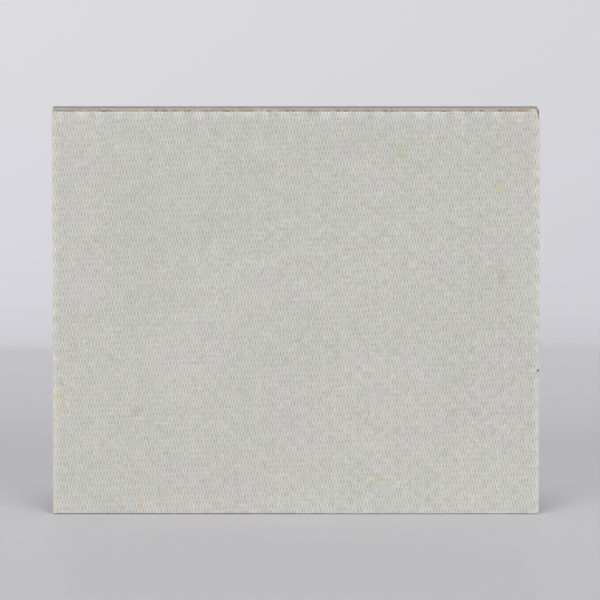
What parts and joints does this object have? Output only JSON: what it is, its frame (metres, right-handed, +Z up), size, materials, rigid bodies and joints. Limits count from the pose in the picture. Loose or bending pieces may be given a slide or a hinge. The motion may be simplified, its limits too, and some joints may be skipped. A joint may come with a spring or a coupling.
{
  "type": "stone honeycomb panel",
  "caption": "Stone-faced sandwich panel sample: thin grey stone on a glass-cloth and aluminium honeycomb backing, standing on its long edge with its back to the viewer.",
  "frame": {"origin": "the centre of the bottom edge that the panel stands on", "axes": "+X along the panel's length, to the right when its back is looked at; +Y out of the stone's face; +Z up"},
  "size_m": [0.18, 0.02, 0.15],
  "materials": {
    "stone": "honed",
    "adhesive": "cured epoxy, sawn edge",
    "laminate": "woven glass cloth in clear resin, satin",
    "foil": "bright foil",
    "putty": "matt, sanded"
  },
  "bodies": {
    "root": {"stone_slab": "stone", "stone_adhesive": "adhesive", "front_skin": "laminate", "honeycomb_core": "foil", "back_skin": "laminate", "edge_filler_top": "putty", "edge_filler_bottom": "putty", "edge_filler_left": "putty", "edge_filler_right": "putty"}
  },
  "joints": []
}
